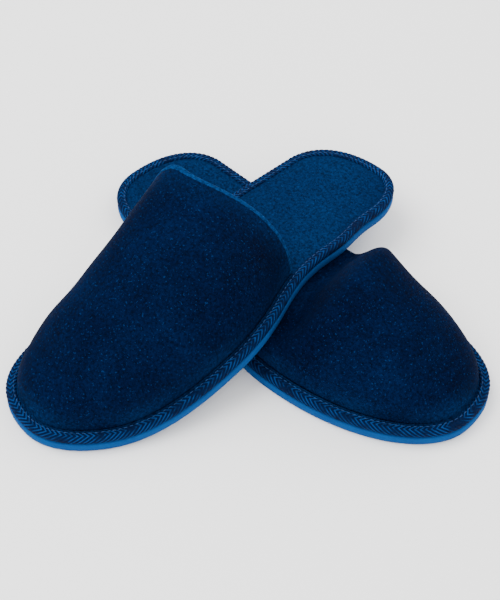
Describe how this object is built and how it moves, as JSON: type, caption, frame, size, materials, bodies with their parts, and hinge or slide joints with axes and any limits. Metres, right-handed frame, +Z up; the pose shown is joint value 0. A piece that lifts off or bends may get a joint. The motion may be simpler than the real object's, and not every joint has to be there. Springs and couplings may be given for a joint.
{
  "type": "spa slippers",
  "caption": "Pair of closed-toe padded spa slippers lying crossed, the right one over the left, with soft vamps, bound edges and flat foam soles.",
  "frame": {"origin": "on the floor at the middle of the pair's footprint", "axes": "+Z up; the right slipper's toe points along -Y; the left slipper's toe points near +X, turned 4.8 degrees towards +Y"},
  "size_m": [0.2844, 0.285, 0.0914],
  "materials": {
    "outsole_foam": "matt closed-cell foam",
    "insole_board": "pressed non-woven board",
    "padding": "soft open foam",
    "footbed_velour": "short-pile velour",
    "vamp_velour": "short-pile velour",
    "lining": "brushed knit",
    "hem_velour": "folded velour edge",
    "binding_tape": "ribbed twill tape",
    "thread": "polyester thread"
  },
  "bodies": {
    "left_slipper": {"left_outsole": "outsole_foam", "left_insole_board": "insole_board", "left_footbed_foam": "padding", "left_footbed_cover": "footbed_velour", "left_edge_binding": "binding_tape", "left_binding_thread": "thread", "left_vamp_cover": "vamp_velour", "left_vamp_foam": "padding", "left_vamp_lining": "lining", "left_instep_hem": "hem_velour"},
    "right_slipper": {"right_outsole": "outsole_foam", "right_insole_board": "insole_board", "right_footbed_foam": "padding", "right_footbed_cover": "footbed_velour", "right_edge_binding": "binding_tape", "right_binding_thread": "thread", "right_vamp_cover": "vamp_velour", "right_vamp_foam": "padding", "right_vamp_lining": "lining", "right_instep_hem": "hem_velour"}
  },
  "joints": [
    {"name": "right_slipper_lift", "type": "slide", "parent": "left_slipper", "child": "right_slipper", "axis": [0, 0, 1], "range_m": [0, 0.15]}
  ]
}
